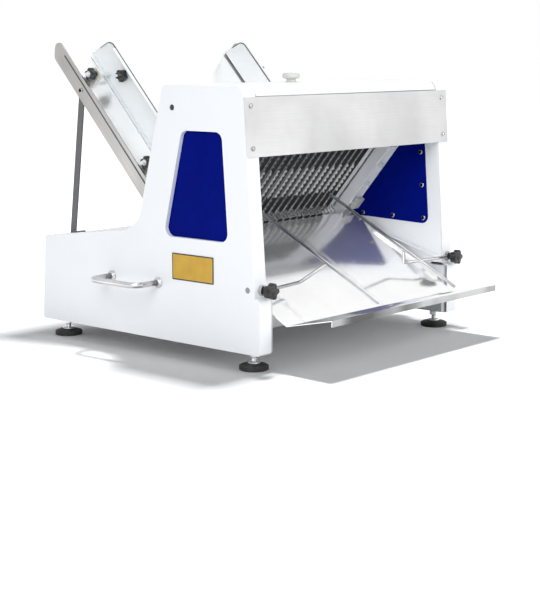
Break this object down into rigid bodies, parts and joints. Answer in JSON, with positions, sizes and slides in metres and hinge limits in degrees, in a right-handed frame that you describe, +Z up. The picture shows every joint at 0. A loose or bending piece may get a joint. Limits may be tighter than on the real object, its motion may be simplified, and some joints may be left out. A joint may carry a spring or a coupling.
{
  "type": "bread slicer",
  "caption": "Table-top bread slicer: a sloping chute feeds a loaf through reciprocating blades and out over a steel slide and tray.",
  "frame": {"origin": "on the table, under the centre of the machine's box", "axes": "+X across the machine to the operator's right, +Y from the operator's side to the rear, +Z up"},
  "size_m": [0.824, 0.7897, 0.6452],
  "materials": {
    "white_paint": "satin powder coat",
    "blue_paint": "satin paint",
    "satin_steel": "brushed",
    "polished_steel": "polished",
    "blade_steel": "ground",
    "machined_steel": "machined",
    "dark_paint": "matt paint",
    "black_plastic": "moulded",
    "white_nylon": "machined",
    "plate_yellow": "bare label plate",
    "foot_rubber": "matt",
    "belt_rubber": "matt",
    "iron": "cast",
    "motor_paint": "satin paint",
    "tray_steel": "plain",
    "grey_plastic": "moulded",
    "green_plastic": "moulded",
    "red_plastic": "moulded"
  },
  "bodies": {
    "casing": {"left_side_panel": "white_paint", "right_side_panel": "white_paint", "left_window_plate": "blue_paint", "right_window_plate": "blue_paint", "left_inner_wall": "white_paint", "right_inner_wall": "white_paint", "inner_covers": "blue_paint", "panel_screws": "polished_steel", "front_cover": "satin_steel", "cover_hinges": "satin_steel", "rear_blade_cover": "white_paint", "name_plate": "plate_yellow", "panel_plugs": "black_plastic", "carry_handles": "polished_steel", "base_frame": "dark_paint", "base_cover": "white_paint", "rear_panel": "white_paint", "cable_gland": "black_plastic", "foot_pads": "foot_rubber", "foot_studs": "polished_steel", "chute_floor": "satin_steel", "chute_rails": "satin_steel", "chute_struts": "dark_paint", "guide_lugs": "white_nylon", "frame_blocks": "white_nylon", "bearing_blocks": "satin_steel", "crank_supports": "dark_paint", "drive_belt": "belt_rubber", "motor": "motor_paint", "outfeed_slide": "polished_steel", "clamp_studs": "polished_steel", "switch_box": "grey_plastic"},
    "crank": {"crankshaft": "machined_steel", "crank_pulley": "iron", "eccentric_bearings": "machined_steel"},
    "front_frame": {"front_blade_frame": "white_paint", "front_blades": "blade_steel"},
    "rear_frame": {"rear_blade_frame": "white_paint", "rear_blades": "blade_steel"},
    "motor_rotor": {"motor_pulley": "iron"},
    "lid": {"top_cover": "white_paint", "cover_knob": "white_nylon", "cover_hinge_knuckles": "white_paint"},
    "drawer": {"crumb_drawer": "tray_steel"},
    "start": {"start_button": "green_plastic"},
    "stop": {"stop_button": "red_plastic"},
    "left_guide": {"left_loaf_guide": "satin_steel"},
    "left_upper_lock": {"left_upper_lock_knob": "black_plastic"},
    "left_upper_grip": {"left_upper_grip_knob": "black_plastic"},
    "left_lower_lock": {"left_lower_lock_knob": "black_plastic"},
    "left_lower_grip": {"left_lower_grip_knob": "black_plastic"},
    "left_wire": {"left_wire_guide": "polished_steel"},
    "left_clamp": {"left_clamp_knob": "black_plastic"},
    "right_guide": {"right_loaf_guide": "satin_steel"},
    "right_upper_lock": {"right_upper_lock_knob": "black_plastic"},
    "right_upper_grip": {"right_upper_grip_knob": "black_plastic"},
    "right_lower_lock": {"right_lower_lock_knob": "black_plastic"},
    "right_lower_grip": {"right_lower_grip_knob": "black_plastic"},
    "right_wire": {"right_wire_guide": "polished_steel"},
    "right_clamp": {"right_clamp_knob": "black_plastic"}
  },
  "joints": [
    {"name": "crank_turn", "type": "hinge", "parent": "casing", "child": "crank", "pos_m": [0, 0.12758, 0.16579], "axis": [1, 0, 0], "range_deg": [-90, 90]},
    {"name": "front_frame_slide", "type": "slide", "parent": "casing", "child": "front_frame", "axis": [0, -0.6428, 0.766], "range_m": [-0.0101, 0.0101]},
    {"name": "rear_frame_slide", "type": "slide", "parent": "casing", "child": "rear_frame", "axis": [0, -0.6428, 0.766], "range_m": [-0.0101, 0.0101]},
    {"name": "motor_turn", "type": "hinge", "parent": "casing", "child": "motor_rotor", "pos_m": [0.128, 0.296, 0.146], "axis": [1, 0, 0], "range_deg": [-230, 230]},
    {"name": "lid_hinge", "type": "hinge", "parent": "casing", "child": "lid", "pos_m": [0, 0.009, 0.5535], "axis": [-1, 0, 0], "range_deg": [0, 90]},
    {"name": "drawer_slide", "type": "slide", "parent": "casing", "child": "drawer", "axis": [0, -1, 0], "range_m": [0, 0.12]},
    {"name": "start_press", "type": "slide", "parent": "casing", "child": "start", "axis": [-1, 0, 0], "range_m": [0, 0.003], "stiffness_N_per_m": 400, "springref_m": -0.0005},
    {"name": "stop_press", "type": "slide", "parent": "casing", "child": "stop", "axis": [-1, 0, 0], "range_m": [0, 0.003], "stiffness_N_per_m": 400, "springref_m": -0.0005},
    {"name": "left_guide_slide", "type": "slide", "parent": "casing", "child": "left_guide", "axis": [-1, 0, 0], "range_m": [0, 0.025]},
    {"name": "left_upper_lock_turn", "type": "hinge", "parent": "casing", "child": "left_upper_lock", "pos_m": [-0.262, 0.29151, 0.57672], "axis": [-1, 0, 0], "range_deg": [-180, 180]},
    {"name": "left_upper_grip_turn", "type": "hinge", "parent": "left_guide", "child": "left_upper_grip", "pos_m": [-0.232, 0.24953, 0.57348], "axis": [-1, 0, 0], "range_deg": [-180, 180]},
    {"name": "left_lower_lock_turn", "type": "hinge", "parent": "casing", "child": "left_lower_lock", "pos_m": [-0.262, 0.12101, 0.39388], "axis": [-1, 0, 0], "range_deg": [-180, 180]},
    {"name": "left_lower_grip_turn", "type": "hinge", "parent": "left_guide", "child": "left_lower_grip", "pos_m": [-0.232, 0.08312, 0.39503], "axis": [-1, 0, 0], "range_deg": [-180, 180]},
    {"name": "left_wire_swing", "type": "hinge", "parent": "casing", "child": "left_wire", "pos_m": [-0.32, -0.25186, 0.164], "axis": [0, 1, 0], "range_deg": [-3, 3]},
    {"name": "left_clamp_turn", "type": "hinge", "parent": "casing", "child": "left_clamp", "pos_m": [-0.32, -0.25186, 0.164], "axis": [0, -1, 0], "range_deg": [-180, 180]},
    {"name": "right_guide_slide", "type": "slide", "parent": "casing", "child": "right_guide", "axis": [1, 0, 0], "range_m": [0, 0.025]},
    {"name": "right_upper_lock_turn", "type": "hinge", "parent": "casing", "child": "right_upper_lock", "pos_m": [0.262, 0.29151, 0.57672], "axis": [1, 0, 0], "range_deg": [-180, 180]},
    {"name": "right_upper_grip_turn", "type": "hinge", "parent": "right_guide", "child": "right_upper_grip", "pos_m": [0.232, 0.24953, 0.57348], "axis": [1, 0, 0], "range_deg": [-180, 180]},
    {"name": "right_lower_lock_turn", "type": "hinge", "parent": "casing", "child": "right_lower_lock", "pos_m": [0.262, 0.12101, 0.39388], "axis": [1, 0, 0], "range_deg": [-180, 180]},
    {"name": "right_lower_grip_turn", "type": "hinge", "parent": "right_guide", "child": "right_lower_grip", "pos_m": [0.232, 0.08312, 0.39503], "axis": [1, 0, 0], "range_deg": [-180, 180]},
    {"name": "right_wire_swing", "type": "hinge", "parent": "casing", "child": "right_wire", "pos_m": [0.32, -0.25186, 0.164], "axis": [0, 1, 0], "range_deg": [-3, 3]},
    {"name": "right_clamp_turn", "type": "hinge", "parent": "casing", "child": "right_clamp", "pos_m": [0.32, -0.25186, 0.164], "axis": [0, -1, 0], "range_deg": [-180, 180]}
  ],
  "couplings": [
    {"joint": "front_frame_slide", "follows": "crank_turn", "m_per_rad": -0.006366},
    {"joint": "rear_frame_slide", "follows": "crank_turn", "m_per_rad": 0.006366},
    {"joint": "motor_turn", "follows": "crank_turn", "ratio": 2.5}
  ]
}
